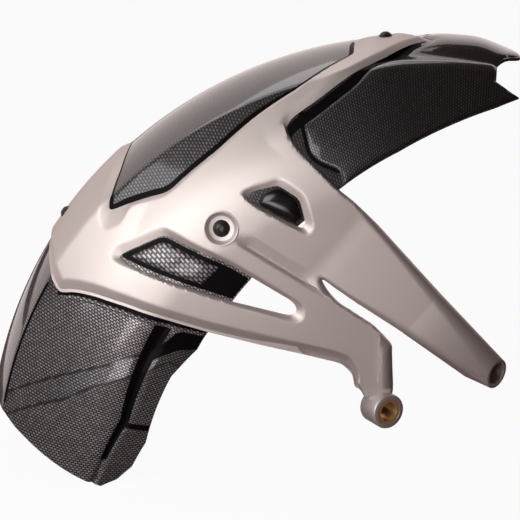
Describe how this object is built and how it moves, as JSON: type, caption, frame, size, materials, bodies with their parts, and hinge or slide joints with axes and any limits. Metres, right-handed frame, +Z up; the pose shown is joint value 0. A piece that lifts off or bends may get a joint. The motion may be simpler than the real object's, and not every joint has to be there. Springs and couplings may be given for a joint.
{
  "type": "rear hugger mudguard",
  "caption": "Rear tyre hugger: carbon-look shell with grooved tail on a one-sided silver carrier with straps, side openings, a bushed arm and a socket arm.",
  "frame": {"origin": "centre of the brass bush in the lower arm's collar", "axes": "+X towards the tail, +Z up, -Y out of the near side of the wheel"},
  "size_m": [0.4151, 0.2155, 0.3376],
  "materials": {
    "carbon_look_shell": "gloss clear coat over a fine woven pattern",
    "silver_carrier": "satin silver paint",
    "brass_bush": "turned",
    "black_screws": "black oxide",
    "zinc_nuts": "zinc plated"
  },
  "bodies": {
    "root": {"mudguard_shell": "carbon_look_shell", "side_carrier": "silver_carrier", "upper_arm": "silver_carrier", "lower_arm_bush": "brass_bush", "crown_screw_front": "black_screws", "crown_screw_rear": "black_screws", "side_screw": "black_screws", "crown_nut_front": "zinc_nuts", "crown_nut_rear": "zinc_nuts", "side_nut": "zinc_nuts"}
  },
  "joints": []
}
